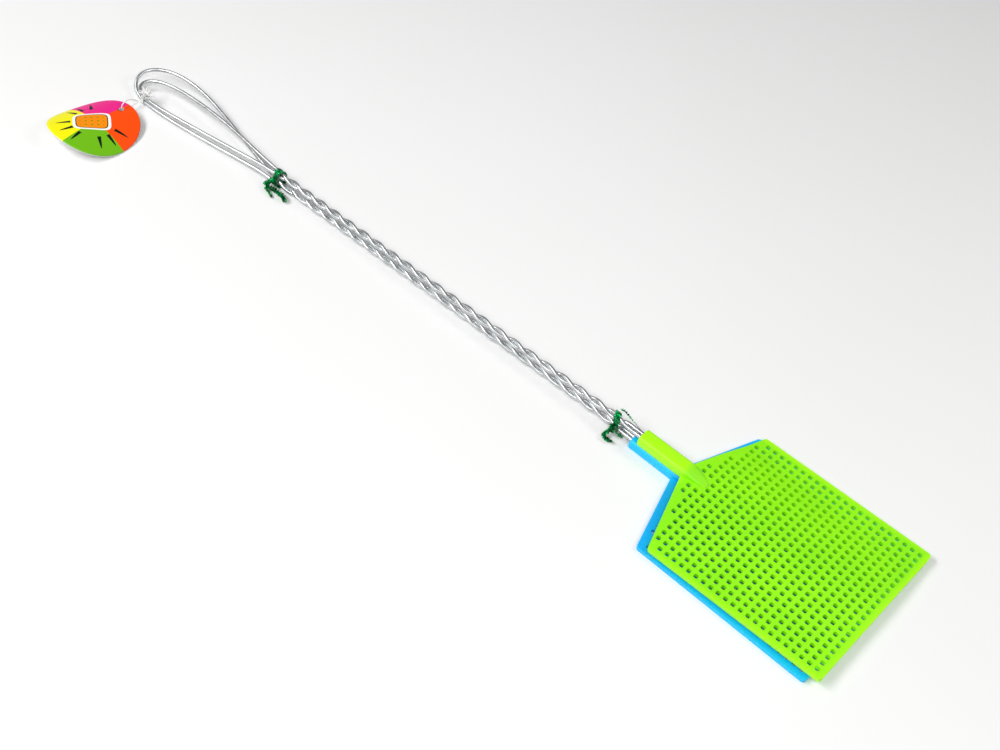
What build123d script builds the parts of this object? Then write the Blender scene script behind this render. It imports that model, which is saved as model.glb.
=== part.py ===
from build123d import *
from math import atan2, cos, degrees, pi, radians, sin, tan
import os

os.makedirs("parts", exist_ok=True)

# Two wire-handled fly swatters lie one on the other, bound together by two foil ties, with a card tag
# tied to the hanging loops. Millimetres. The origin is the centre of the lower blade's square mesh on
# its underside. +X runs along the lower handle towards the blade's far edge, +Z is up.

# Blade: one plastic moulding, mesh plate, tapered shoulders and a socket for the wire
plate_length = 92.0
plate_width = 92.0
plate_thickness = 2.0
corner_radius = 1.4
shoulder_length = 14.0
hole_pitch = 4.0
hole_size = 2.2
rim_width = 2.9  # least distance from a hole's centre to the plate's edge
shoulder_hole_shares = (0.91, 0.55, 0.27)  # rows kept in each extra column of holes in the shoulders
socket_width = 8.4
socket_height = 5.0
socket_length = 26.0
socket_edge_radius = 1.2
ramp_length = 12.6
ramp_end_width = 3.2

# Handle: one steel wire, folded into a loop, its two legs twisted together
wire_diameter = 2.0
leg_gap = 0.16
leg_depth = 24.0
leg_straight = 4.0
leg_rise = 5.4
twist_spread = 1.13  # corners of the twist against the straight legs' offset
twist_half_turns = 23
twist_steps_per_half_turn = 3
half_turn_length = 10.266
handle_side_bend = -0.57

# Foil ties: a flat foil strip with a soft steel core
foil_width = 4.0
foil_thickness = 0.5
tie_core_diameter = 0.25
tie_slack = 0.25
tail_width = 2.2
tail_height = 1.7
stem_diameter = 1.6
blade_tie_distance = 3.0
loop_tie_distance = 4.9

# Card tag, curled across its width, and its thread
card_diameter = 48.8
card_thickness = 0.45
card_curl_radius = 40.0
card_hole_diameter = 3.0
card_hole_inset = 6.0
card_heading = 86.2
card_pitch = 5.6
card_rest_gap = 0.3
thread_diameter = 0.6
thread_gap = 0.15
thread_reach = (2.7, -13.0)
hitch_distance = 93.7
hitch_width = 1.3
hitch_slack = 0.25
knot_radius = 1.3

# How the two swatters lie
lower_yaw = -1.0
upper_yaw = -0.63
upper_tilt = 1.2
upper_shift = (4.4, 1.45)
stack_gap = 0.3
upper_end_shift = 2.5

wire_radius = wire_diameter / 2
leg_offset = (wire_diameter + leg_gap) / 2
twist_corner_radius = twist_spread * leg_offset
shaft_radius = 0.88 * twist_corner_radius + wire_radius
socket_axis = socket_height / 2
neck_x = -plate_length / 2 - shoulder_length
mouth_x = neck_x - socket_length
hole_columns = int((plate_length - 2 * rim_width) / hole_pitch) + 1
hole_rows = int((plate_width - 2 * rim_width) / hole_pitch) + 1
hitch_inner = wire_radius + hitch_slack
hitch_outer = hitch_inner + thread_diameter

# Loops, from the leg on the -Y side round the end and back along the +Y side. Along the handle in
# millimetres from the twist's end; across it and above the ground in wire diameters.
lower_loop = [
    (-13.5, -0.8, 1.25),
    (-36.5, -2.25, 0.95),
    (-62.5, -3.7, 0.75),
    (-80.5, -4.45, 0.8),
    (-93.5, -4.5, 0.95),
    (-102.5, -3.45, 1.6),
    (-107.7, -0.95, 3),
    (-108.1, 2.45, 3.9),
    (-102.5, 5.65, 4.25),
    (-92.5, 7.85, 4.15),
    (-78.5, 8.45, 3.7),
    (-63.5, 7.75, 3),
    (-44.5, 5.75, 2.3),
    (-22.5, 3.15, 1.8),
]
upper_loop = [
    (-10.5, -0.05, 3.1),
    (-31.5, -1.25, 2.6),
    (-55.5, -2.65, 2.3),
    (-73.5, -3.7, 2.15),
    (-86.5, -4.25, 2.1),
    (-96, -4, 2.15),
    (-102.3, -2.15, 2.5),
    (-102.9, 0.65, 2.8),
    (-96.5, 2.9, 3.1),
    (-85.5, 4.1, 3.4),
    (-69.5, 4.4, 3.65),
    (-50.5, 4.1, 3.85),
    (-28.5, 3, 3.85),
    (-11.5, 1.85, 3.7),
]
loop_cuts = (0, 4, 7, 10, 14)  # points of the loop before which the wire is cut
lower_twist_heights = (1.425, 1.4)
upper_twist_end = (0.65, 3.55)
hitch_low_offset = (-4.35, 1.025)
hitch_high_offset = (-3.95, 2.175)

# Twisted stems of the ties from the lower shaft's centre, and their tails in plan from the stem's end
blade_tie_stem = (0.8, -5.0)
blade_tie_tails = [
    [(0.0, 0.0), (0.4, -2.8), (2.6, -3.8), (5.6, -2.6)],
    [(0.0, 0.0), (3.6, 0.2), (7.1, 0.8)],
]
loop_tie_stem = (-2.0, -5.1)
loop_tie_tails = [
    [(0.0, 0.0), (4.6, 0.6), (9.6, 1.0), (13.1, -0.4)],
    [(0.0, 0.0), (3.4, -1.6), (6.6, -3.2)],
]

# The thread: share of the way from the hitch to the card's hole, and height above that line. It runs
# out over the card, down through the hole and back beneath.
thread_route = [
    (0.0, 0.4),
    (0.16, 1.74),
    (0.36, 3.36),
    (0.61, 4.03),
    (0.85, 3.33),
    (0.98, 1.56),
    (0.98, -0.64),
    (0.85, -1.67),
    (0.62, -1.6),
    (0.38, -1.1),
    (0.18, -0.72),
    (0.0, -0.4),
]


def hole_centres():
    """Grid of holes in the square field, and the rows that carry on into the shoulders."""
    first_x = -(hole_columns - 1) * hole_pitch / 2
    first_y = -(hole_rows - 1) * hole_pitch / 2
    centres = []
    for column in range(hole_columns):
        for row in range(hole_rows):
            centres.append((first_x + column * hole_pitch, first_y + row * hole_pitch))
    for column, share in enumerate(shoulder_hole_shares):
        x = first_x - (column + 1) * hole_pitch
        skipped = round(hole_rows * (1 - share) / 2)
        for row in range(skipped, hole_rows - skipped):
            y = first_y + row * hole_pitch
            beside_ramp = abs(y) - hole_size / 2 > socket_width / 2
            past_ramp = x - hole_size / 2 > neck_x + ramp_length
            if beside_ramp or past_ramp:
                centres.append((x, y))
    return centres


def blade_plate():
    half_length = plate_length / 2
    half_width = plate_width / 2
    half_neck = socket_width / 2
    corners = [
        (half_length, -half_width),
        (half_length, half_width),
        (-half_length, half_width),
        (neck_x, half_neck),
        (neck_x, -half_neck),
        (-half_length, -half_width),
    ]
    outline = make_face(Polyline(*corners, close=True))
    rounded = [v for v in outline.vertices() if v.X > neck_x + shoulder_length / 2]
    outline = fillet(rounded, corner_radius)
    holes = [Pos(x, y) * Rectangle(hole_size, hole_size) for x, y in hole_centres()]
    mesh = Face(outline.face().outer_wire(), [hole.face().outer_wire() for hole in holes])
    return extrude(mesh, plate_thickness, dir=(0, 0, 1))


def blade_socket():
    """Square socket with rounded top edges, and the ramp that dies into the plate."""
    sleeve = Pos((mouth_x + neck_x) / 2, 0, socket_height / 2) * Box(socket_length, socket_width, socket_height)
    top_edges = sleeve.edges().filter_by(Axis.X).group_by(Axis.Z)[-1]
    sleeve = fillet(top_edges, socket_edge_radius)
    tip = Plane((neck_x + ramp_length, 0, plate_thickness / 2), x_dir=(0, 1, 0), z_dir=(1, 0, 0))
    end = Plane((neck_x, 0, socket_height / 2), x_dir=(0, 1, 0), z_dir=(1, 0, 0))
    ramp = loft([end * Rectangle(socket_width - 2 * socket_edge_radius, socket_height),
                 tip * Rectangle(ramp_end_width, plate_thickness)])
    return sleeve + ramp


def leg_bores():
    bores = []
    for side in (-1, 1):
        place = Pos(mouth_x + leg_depth / 2, side * leg_offset, socket_axis) * Rot(0, 90, 0)
        bores.append(place * Cylinder(wire_radius, leg_depth))
    return bores


def blade():
    socket = blade_socket()
    for bore in leg_bores():
        socket = socket - bore
    return blade_plate() + socket


def arc_radii(points):
    """Largest arc that each corner's two runs have room for."""
    radii = []
    for before, corner, after in zip(points, points[1:], points[2:]):
        run_in = corner - before
        run_out = after - corner
        half_turn = radians(run_in.get_angle(run_out)) / 2
        radii.append(0.45 * min(run_in.length, run_out.length) / tan(half_turn))
    return radii


def round_tube(points, diameter, label, radii=None):
    radii = radii or arc_radii(points)
    path = FilletPolyline(*points, radius=radii)
    start = Plane(origin=path @ 0, z_dir=path % 0)
    tube = sweep(start * Circle(diameter / 2), path=path)
    ideal = pi * diameter ** 2 / 4 * path.length
    print(f"{label}: length {path.length:.1f}, smallest radius {min(radii):.2f}, "
          f"volume ratio {tube.volume / ideal:.4f}")
    return tube


def wire_pieces(points, label):
    """The wire in stretches that meet face to face, so that the loop stays open in collision."""
    leg_count = (len(points) - len(lower_loop)) // 2
    radii = arc_radii(points)
    cuts = [0] + [leg_count + place for place in loop_cuts] + [len(points)]
    tubes = []
    for first, last in zip(cuts, cuts[1:]):
        run = points[first:last]
        corners = radii[max(first, 1) - 1:min(last, len(points) - 1) - 1]
        if first > 0:
            run = [(points[first - 1] + points[first]) / 2] + run
        if last < len(points):
            run = run + [(points[last - 1] + points[last]) / 2]
        tubes.append(round_tube(run, wire_diameter, f"{label} stretch {first} to {last}", corners))
    return {
        f"{label}_twist": Compound([tubes[0], tubes[-1]]),
        f"{label}_loop_near": tubes[1],
        f"{label}_bend_near": tubes[2],
        f"{label}_bend_far": tubes[3],
        f"{label}_loop_far": tubes[4],
    }


def placed(place, x, y, z):
    return (place * Pos(x, y, z)).position


def from_root(along, across, height):
    """Point from the twist's end: across and height in wire diameters."""
    return loop_root + Vector(along, across * wire_diameter, height * wire_diameter)


def handle_points(place, start, end, loop):
    """One wire from socket to socket: a leg, its twist, the loop, the other twist, the other leg."""
    along = (end - start).normalized()
    downward = along.cross(Vector(0, 1, 0)).normalized()
    across = downward.cross(along)
    steps = twist_half_turns * twist_steps_per_half_turn
    legs = []
    for side, first_angle in ((1, 0), (-1, pi)):
        leg = [placed(place, mouth_x + leg_depth, side * leg_offset, socket_axis),
               placed(place, mouth_x - leg_straight, side * leg_offset, socket_axis)]
        for step in range(steps + 1):
            angle = first_angle + step * pi / twist_steps_per_half_turn
            centre = start + (end - start) * (step / steps)
            leg.append(centre + (across * cos(angle) + downward * sin(angle)) * twist_corner_radius)
        legs.append(leg)
    return legs[0] + [from_root(*point) for point in loop] + legs[1][::-1]


def shaft_centre(start, end, x):
    """Centre of a twisted shaft at a distance x along the handle."""
    return start + (end - start) * ((x - start.X) / (end.X - start.X))


def stadium(low, high, radius):
    """Outline in the YZ plane that holds two circles of one radius."""
    middle = (low + high) / 2
    span = high - low
    lean = degrees(atan2(span.Z, span.Y))
    plane = Plane(origin=middle, x_dir=(0, 1, 0), z_dir=(1, 0, 0))
    return plane * Rot(0, 0, lean) * SlotCenterToCenter(span.length, 2 * radius)


def tie(x, stem, tails):
    """A foil band round both shafts, a twisted stem and its tails, with the steel core inside."""
    low = shaft_centre(lower_start, lower_end, x)
    high = shaft_centre(upper_start, upper_end, x)
    inner = shaft_radius + tie_slack
    outer = inner + foil_thickness
    band = extrude(stadium(low, high, outer), foil_width / 2, both=True)
    core_path = stadium(low, high, inner + foil_thickness / 2).face().outer_wire()
    core_start = Plane(origin=core_path @ 0, z_dir=core_path % 0)
    core = sweep(core_start * Circle(tie_core_diameter / 2), path=core_path)

    root = Vector(x + stem[0], low.Y + stem[1], tail_height)
    sideways = Vector(0, root.Y - low.Y, root.Z - low.Z).normalized()
    stem_start = low + sideways * (inner + foil_thickness / 2)
    reach = root - stem_start
    stem_plane = Plane(origin=stem_start, z_dir=reach)
    foil = band + extrude(stem_plane * Circle(stem_diameter / 2), reach.length + stem_diameter / 2)
    foil -= extrude(stadium(low, high, inner), foil_width, both=True)
    core += extrude(stem_plane * Circle(tie_core_diameter / 2), reach.length)
    for tail in tails:
        plan = [(root.X + dx, root.Y + dy) for dx, dy in tail]
        plane = Plane(origin=(0, 0, root.Z - tail_width / 2))
        foil += extrude(plane * trace(Polyline(*plan), foil_thickness), tail_width)
        edges = Polyline(*[(px, py, root.Z) for px, py in plan]).edges()
        for edge in edges:
            trimmed = foil_thickness if edge is edges[-1] else 0
            rod = Plane(origin=edge @ 0, z_dir=edge % 0) * Circle(tie_core_diameter / 2)
            core += extrude(rod, edge.length - trimmed) + Pos(edge @ 0) * Sphere(tie_core_diameter / 2)
    foil -= core
    return foil, core


def card_place():
    """Card's middle on the curl's crown, its hole's axis through the thread's far end."""
    radius = card_diameter / 2
    hole_radius = radius - card_hole_inset
    sagitta = card_curl_radius * (1 - cos(radius / card_curl_radius))
    crown = sagitta + card_thickness + card_rest_gap
    spot = Vector(thread_root.X + thread_reach[0], thread_root.Y + thread_reach[1], 0)
    turn = Rot(0, 0, card_heading) * Rot(0, card_pitch, 0)
    hole = (turn * Pos(hole_radius, 0, 0)).position
    return Pos(spot.X - hole.X, spot.Y - hole.Y, crown) * turn


def card():
    """Round card curled over an axis that runs through the hole and the card's middle."""
    radius = card_diameter / 2
    half_span = card_curl_radius * sin(radius / card_curl_radius)
    across = Plane(origin=(0, 0, 0), x_dir=(0, 1, 0), z_dir=(1, 0, 0))
    ring = Circle(card_curl_radius) - Circle(card_curl_radius - card_thickness)
    shell = extrude(across * Pos(0, -card_curl_radius) * ring, card_diameter, both=True)
    shell &= extrude(Ellipse(radius, half_span), card_curl_radius, both=True)
    shell -= Pos(0, 0, -2 * card_curl_radius) * Box(card_diameter, card_diameter, 2 * card_curl_radius)
    hole = Pos(radius - card_hole_inset, 0, 0) * Cylinder(card_hole_diameter / 2, card_curl_radius / 4)
    return card_place() * (shell - hole)


def hitch(low, high):
    """Two turns of thread round both wires, with the knot on top."""
    ring = extrude(stadium(low, high, hitch_outer), hitch_width / 2, both=True)
    ring -= extrude(stadium(low, high, hitch_inner), hitch_width, both=True)
    seat = hitch_inner + thread_diameter / 4
    knot = Pos(high.X, high.Y + knot_radius / 2, high.Z + seat + knot_radius) * Sphere(knot_radius)
    return ring + knot


def thread_points():
    hole = (card_place() * Pos(card_diameter / 2 - card_hole_inset, 0, 0)).position
    return [thread_root + (hole - thread_root) * share + Vector(0, 0, rise) for share, rise in thread_route]


lower_place = Rot(0, 0, lower_yaw)
upper_place = (Pos(upper_shift[0], upper_shift[1], socket_height + stack_gap) * Rot(0, 0, upper_yaw)
               * Pos(neck_x, 0, 0) * Rot(0, upper_tilt, 0) * Pos(-neck_x, 0, 0))
twist_x = mouth_x - leg_straight - leg_rise
lower_start = placed(lower_place, twist_x, 0, lower_twist_heights[0] * wire_diameter)
upper_start = placed(upper_place, twist_x, 0, socket_axis)
loop_root = Vector(lower_start.X - twist_half_turns * half_turn_length, lower_start.Y + handle_side_bend, 0)
lower_end = from_root(0, 0, lower_twist_heights[1])
upper_end = from_root(upper_end_shift, *upper_twist_end)
hitch_low = from_root(-hitch_distance, *hitch_low_offset)
hitch_high = from_root(-hitch_distance, *hitch_high_offset)
thread_root = hitch_low + Vector(-0.4, -(hitch_outer + thread_diameter / 2 + thread_gap), hitch_inner * 0.75)

swatter_blade = blade()
lower_points = handle_points(lower_place, lower_start, lower_end, lower_loop)
upper_points = handle_points(upper_place, upper_start, upper_end, upper_loop)
blade_tie_foil, blade_tie_core = tie(lower_start.X - blade_tie_distance, blade_tie_stem, blade_tie_tails)
loop_tie_foil, loop_tie_core = tie(lower_end.X + loop_tie_distance, loop_tie_stem, loop_tie_tails)

nodes = {
    "lower_blade": lower_place * swatter_blade,
    **wire_pieces(lower_points, "lower_wire"),
    "upper_blade": upper_place * swatter_blade,
    **wire_pieces(upper_points, "upper_wire"),
    "blade_tie_foil": blade_tie_foil,
    "blade_tie_core": blade_tie_core,
    "loop_tie_foil": loop_tie_foil,
    "loop_tie_core": loop_tie_core,
    "tag_hitch": hitch(hitch_low, hitch_high),
    "tag_thread": round_tube(thread_points(), thread_diameter, "tag thread"),
    "tag_card": card(),
}
for name, solid in nodes.items():
    export_step(solid, f"parts/{name}.step")
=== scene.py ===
import math

import bmesh
import bpy
import numpy as np
from mathutils import Matrix, Vector


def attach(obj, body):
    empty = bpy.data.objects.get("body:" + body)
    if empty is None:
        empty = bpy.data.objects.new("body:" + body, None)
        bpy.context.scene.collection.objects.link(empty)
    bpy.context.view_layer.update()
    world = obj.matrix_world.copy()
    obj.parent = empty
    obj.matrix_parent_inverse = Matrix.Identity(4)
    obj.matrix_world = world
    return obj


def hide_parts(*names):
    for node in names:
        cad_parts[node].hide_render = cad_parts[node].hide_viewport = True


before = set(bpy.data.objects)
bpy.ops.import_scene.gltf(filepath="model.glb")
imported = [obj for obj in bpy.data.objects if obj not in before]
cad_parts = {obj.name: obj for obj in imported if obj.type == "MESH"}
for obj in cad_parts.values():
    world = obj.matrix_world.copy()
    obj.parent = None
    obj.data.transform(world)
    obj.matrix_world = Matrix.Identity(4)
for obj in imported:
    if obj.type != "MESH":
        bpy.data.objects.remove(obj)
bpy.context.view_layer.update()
mm = 0.001

camera = {
    "place": (0.11887, -0.40975, 0.53532),
    "right": (0.745, 0.6586, 0.1064),
    "up": (-0.5472, 0.5119, 0.6622),
    "lens": 54.0,
    "sensor": 36.0,
}
studio = {
    "worldStrength": 0.21,
    "keyPlace": (-0.72, -0.62, 0.92),
    "keySize": (0.95, 0.34),
    "keyPower": 10.8,
    "fillPlace": (0.3, -0.55, 0.9),
    "fillSize": (0.5, 0.5),
    "fillPower": 4.8,
    "backPlace": (0.45, 0.4, 0.7),
    "backSize": (0.3, 0.3),
    "backPower": 1.9,
    "aim": (-0.15, -0.05, 0.0),
    "groundHalf": 3.0,
    "groundDrop": 0.05 * mm,
}


def makeCamera(spec):
    # columns of the turn are right, up and backwards
    right = Vector(spec["right"]).normalized()
    up = Vector(spec["up"])
    up = (up - right * up.dot(right)).normalized()
    back = right.cross(up)
    turn = Matrix((right, up, back)).transposed().to_4x4()
    data = bpy.data.cameras.new("camera")
    data.lens = spec["lens"]
    data.sensor_width = spec["sensor"]
    data.clip_start = 0.01
    data.clip_end = 20.0
    holder = bpy.data.objects.new("camera", data)
    holder.matrix_world = Matrix.Translation(spec["place"]) @ turn
    bpy.context.collection.objects.link(holder)
    bpy.context.scene.camera = holder


def softLight(name, place, aim, size, power):
    # rectangular area light at its place, its -Z turned towards the aim
    data = bpy.data.lights.new(name, "AREA")
    data.shape = "RECTANGLE"
    data.size, data.size_y = size
    data.energy = power
    holder = bpy.data.objects.new(name, data)
    holder.location = place
    holder.rotation_mode = "QUATERNION"
    holder.rotation_quaternion = (Vector(aim) - Vector(place)).to_track_quat("-Z", "Y")
    bpy.context.collection.objects.link(holder)


makeCamera(camera)
for light in ("key", "fill", "back"):
    softLight(light + "Light", studio[light + "Place"], studio["aim"], studio[light + "Size"],
              studio[light + "Power"])
world = bpy.data.worlds.new("studio")
world.use_nodes = True
world.node_tree.nodes["Background"].inputs["Color"].default_value = (1.0, 1.0, 1.0, 1.0)
world.node_tree.nodes["Background"].inputs["Strength"].default_value = studio["worldStrength"]
bpy.context.scene.world = world
bpy.context.scene.view_settings.view_transform = "Standard"
print("camera and light placed")


def startMaterial(name):
    # new material with nodes, its tree and its shader
    material = bpy.data.materials.new(name)
    material.use_nodes = True
    tree = material.node_tree
    return material, tree, tree.nodes["Principled BSDF"]


def noiseNode(tree, scale, detail=3.0, source="Object", stretch=(1.0, 1.0, 1.0)):
    # noise read at the coordinates times stretch times scale
    coordinates = tree.nodes.new("ShaderNodeTexCoord")
    mapping = tree.nodes.new("ShaderNodeMapping")
    mapping.inputs["Scale"].default_value = stretch
    noise = tree.nodes.new("ShaderNodeTexNoise")
    noise.inputs["Scale"].default_value = scale
    noise.inputs["Detail"].default_value = detail
    tree.links.new(coordinates.outputs[source], mapping.inputs["Vector"])
    tree.links.new(mapping.outputs["Vector"], noise.inputs["Vector"])
    return noise


def rampNode(tree, source, stops):
    # colour by value: straight between the stops' colours
    ramp = tree.nodes.new("ShaderNodeValToRGB")
    while len(ramp.color_ramp.elements) < len(stops):
        ramp.color_ramp.elements.new(0.5)
    for element, (position, colour) in zip(ramp.color_ramp.elements, stops):
        element.position = position
        element.color = (*colour, 1.0)
    tree.links.new(source, ramp.inputs["Fac"])
    return ramp


def bumpNode(tree, source, strength, distance):
    # normal tilted by the slope of height times distance, mixed in by strength
    bump = tree.nodes.new("ShaderNodeBump")
    bump.inputs["Strength"].default_value = strength
    bump.inputs["Distance"].default_value = distance
    tree.links.new(source, bump.inputs["Height"])
    return bump


def mathSocket(tree, operation, first, second=None):
    # one operation on one or two values, each a number or a socket
    node = tree.nodes.new("ShaderNodeMath")
    node.operation = operation
    for socket, value in zip(node.inputs, (first, second)):
        if value is None:
            continue
        if isinstance(value, (int, float)):
            socket.default_value = value
        else:
            tree.links.new(value, socket)
    return node.outputs[0]


def mixSocket(tree, factor, first, second):
    # first times (1 - factor) plus second times factor
    node = tree.nodes.new("ShaderNodeMix")
    node.data_type = "RGBA"
    tree.links.new(factor, node.inputs["Factor"])
    for socket, value in ((node.inputs["A"], first), (node.inputs["B"], second)):
        if isinstance(value, tuple):
            socket.default_value = (*value, 1.0)
        else:
            tree.links.new(value, socket)
    return node.outputs["Result"]


def rimHighlightShare(tree, centre, shoulder, start, end):
    # 0 inside the plate and 1 at its rim and on the socket, the mask of the painted highlight there: the
    # largest of the place along, the place backwards less the shoulder's length, and the place across
    # without its sign
    coordinates = tree.nodes.new("ShaderNodeTexCoord")
    mapping = tree.nodes.new("ShaderNodeMapping")
    mapping.inputs["Location"].default_value = (-centre[0], -centre[1], 0.0)
    split = tree.nodes.new("ShaderNodeSeparateXYZ")
    tree.links.new(coordinates.outputs["Object"], mapping.inputs["Vector"])
    tree.links.new(mapping.outputs["Vector"], split.inputs["Vector"])
    back = mathSocket(tree, "SUBTRACT", mathSocket(tree, "MULTIPLY", split.outputs["X"], -1.0), shoulder)
    along = mathSocket(tree, "MAXIMUM", split.outputs["X"], back)
    across = mathSocket(tree, "ABSOLUTE", split.outputs["Y"])
    share = tree.nodes.new("ShaderNodeMapRange")
    share.inputs["From Min"].default_value = start
    share.inputs["From Max"].default_value = end
    tree.links.new(mathSocket(tree, "MAXIMUM", along, across), share.inputs["Value"])
    return share.outputs["Result"]


# where the painted highlight on the rim and socket begins and where it is full
paintedRimHighlight = {"shoulder": 14 * mm, "start": 43.2 * mm, "end": 46.5 * mm}


def plasticMaterial(name, spec):
    # moulded polyethylene: two close tones in slow patches, a paler rim and socket that are a painted
    # highlight, fine grain, a little light passing through
    material, tree, shader = startMaterial(name)
    patches = noiseNode(tree, spec["patchScale"], 4.0)
    tone = rampNode(tree, patches.outputs["Fac"], [(0.3, spec["shade"]), (0.7, spec["colour"])])
    rim = rimHighlightShare(tree, spec["centre"], paintedRimHighlight["shoulder"], paintedRimHighlight["start"], paintedRimHighlight["end"])
    # the rim colour mixed in at the rim and socket is a painted highlight
    tree.links.new(mixSocket(tree, rim, tone.outputs["Color"], spec["rim"]), shader.inputs["Base Color"])
    grain = noiseNode(tree, spec["grainScale"], 2.0)
    bump = bumpNode(tree, grain.outputs["Fac"], spec["grainStrength"], 0.05 * mm)
    tree.links.new(bump.outputs["Normal"], shader.inputs["Normal"])
    shader.inputs["Roughness"].default_value = spec["roughness"]
    shader.inputs["Subsurface Weight"].default_value = spec["glow"]
    shader.inputs["Subsurface Radius"].default_value = spec["glowRadius"]
    shader.inputs["Subsurface Scale"].default_value = spec["glowScale"]
    return material


def wireMaterial(name, spec):
    # galvanised steel: zinc tones in patches, draw lines that run along the wire
    material, tree, shader = startMaterial(name)
    patches = noiseNode(tree, spec["patchScale"], 5.0)
    tone = rampNode(tree, patches.outputs["Fac"], [(0.35, spec["shade"]), (0.65, spec["colour"])])
    tree.links.new(tone.outputs["Color"], shader.inputs["Base Color"])
    rough = tree.nodes.new("ShaderNodeMapRange")
    rough.inputs["To Min"].default_value = spec["roughness"][0]
    rough.inputs["To Max"].default_value = spec["roughness"][1]
    tree.links.new(patches.outputs["Fac"], rough.inputs["Value"])
    tree.links.new(rough.outputs["Result"], shader.inputs["Roughness"])
    lines = noiseNode(tree, spec["lineScale"], 3.0, "UV", spec["lineStretch"])
    bump = bumpNode(tree, lines.outputs["Fac"], spec["lineStrength"], 0.04 * mm)
    tree.links.new(bump.outputs["Normal"], shader.inputs["Normal"])
    shader.inputs["Metallic"].default_value = spec["metallic"]
    return material


def foilMaterial(name, spec):
    # lacquered foil: bright and dark green in small patches, a painted glint and painted shade of the
    # crumpled facets; mirror-like facets
    material, tree, shader = startMaterial(name)
    patches = noiseNode(tree, spec["patchScale"], 2.0)
    # the bright and dark patches stand in for glints and shade on the facets: painted glint and painted
    # shade
    tone = rampNode(tree, patches.outputs["Fac"], [(0.38, spec["shade"]), (0.62, spec["colour"])])
    tree.links.new(tone.outputs["Color"], shader.inputs["Base Color"])
    creases = noiseNode(tree, spec["creaseScale"], 2.0)
    bump = bumpNode(tree, creases.outputs["Fac"], spec["creaseStrength"], 0.15 * mm)
    tree.links.new(bump.outputs["Normal"], shader.inputs["Normal"])
    shader.inputs["Metallic"].default_value = spec["metallic"]
    shader.inputs["Roughness"].default_value = spec["roughness"]
    return material


def threadMaterial(name, spec):
    # spun or paper fibre: two close tones and a bump from one fine noise, with a soft sheen
    material, tree, shader = startMaterial(name)
    fibres = noiseNode(tree, spec["fibreScale"], 4.0)
    tone = rampNode(tree, fibres.outputs["Fac"], [(0.3, spec["shade"]), (0.7, spec["colour"])])
    tree.links.new(tone.outputs["Color"], shader.inputs["Base Color"])
    bump = bumpNode(tree, fibres.outputs["Fac"], 0.6, 0.1 * mm)
    tree.links.new(bump.outputs["Normal"], shader.inputs["Normal"])
    shader.inputs["Roughness"].default_value = spec["roughness"]
    shader.inputs["Sheen Weight"].default_value = spec["sheen"]
    return material


def groundMaterial():
    # white paper: two near whites in slow patches, hardly any shine
    material, tree, shader = startMaterial("groundPaper")
    mottle = noiseNode(tree, 3.0, 2.0)
    tone = rampNode(tree, mottle.outputs["Fac"], [(0.3, (0.88, 0.875, 0.87)), (0.7, (0.9, 0.9, 0.9))])
    tree.links.new(tone.outputs["Color"], shader.inputs["Base Color"])
    shader.inputs["Roughness"].default_value = 0.9
    shader.inputs["Specular IOR Level"].default_value = 0.2
    return material


limePlastic = plasticMaterial("limePlastic", {
    "colour": (0.32, 0.93, 0.0), "shade": (0.26, 0.85, 0.0),
    # rim: paler colour of the painted highlight on the rim and socket
    "rim": (0.42, 1.0, 0.0), "centre": (4.4 * mm, 1.5 * mm),
    "patchScale": 30.0, "grainScale": 1800.0, "grainStrength": 0.25, "roughness": 0.48,
    "glow": 0.25, "glowRadius": (0.6, 1.0, 0.1), "glowScale": 1.5 * mm,
})
bluePlastic = plasticMaterial("bluePlastic", {
    "colour": (0.0, 0.47, 0.95), "shade": (0.0, 0.40, 0.90),
    # rim: paler colour of the painted highlight on the rim and socket
    "rim": (0.0, 0.56, 1.0), "centre": (0.0, 0.0),
    "patchScale": 30.0, "grainScale": 1800.0, "grainStrength": 0.25, "roughness": 0.45,
    "glow": 0.25, "glowRadius": (0.1, 0.6, 1.0), "glowScale": 1.5 * mm,
})
zincWire = wireMaterial("zincWire", {
    "colour": (0.76, 0.78, 0.79), "shade": (0.58, 0.60, 0.61),
    "patchScale": 260.0, "roughness": (0.24, 0.40), "metallic": 0.95,
    "lineScale": 6.0, "lineStretch": (0.6, 14.0, 1.0), "lineStrength": 0.35,
})
# bright green and near-black shade in small patches: painted glints and painted shade of the crumpled foil
greenFoil = foilMaterial("greenFoil", {
    "colour": (0.0, 0.46, 0.11), "shade": (0.0, 0.06, 0.018),
    "patchScale": 600.0, "creaseScale": 1500.0, "creaseStrength": 0.7,
    "metallic": 0.75, "roughness": 0.3,
})
tieSteel = foilMaterial("tieSteel", {
    "colour": (0.30, 0.28, 0.26), "shade": (0.12, 0.10, 0.09),
    "patchScale": 900.0, "creaseScale": 1500.0, "creaseStrength": 0.2,
    "metallic": 0.9, "roughness": 0.4,
})
whiteThread = threadMaterial("whiteThread", {
    "colour": (0.92, 0.92, 0.90), "shade": (0.76, 0.76, 0.75),
    "fibreScale": 2600.0, "roughness": 0.85, "sheen": 0.3,
})

bpy.ops.mesh.primitive_plane_add(size=2 * studio["groundHalf"], location=(0, 0, -studio["groundDrop"]))
ground = bpy.context.object
ground.name = "ground"
ground.data.materials.append(groundMaterial())
print("materials made")


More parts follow.
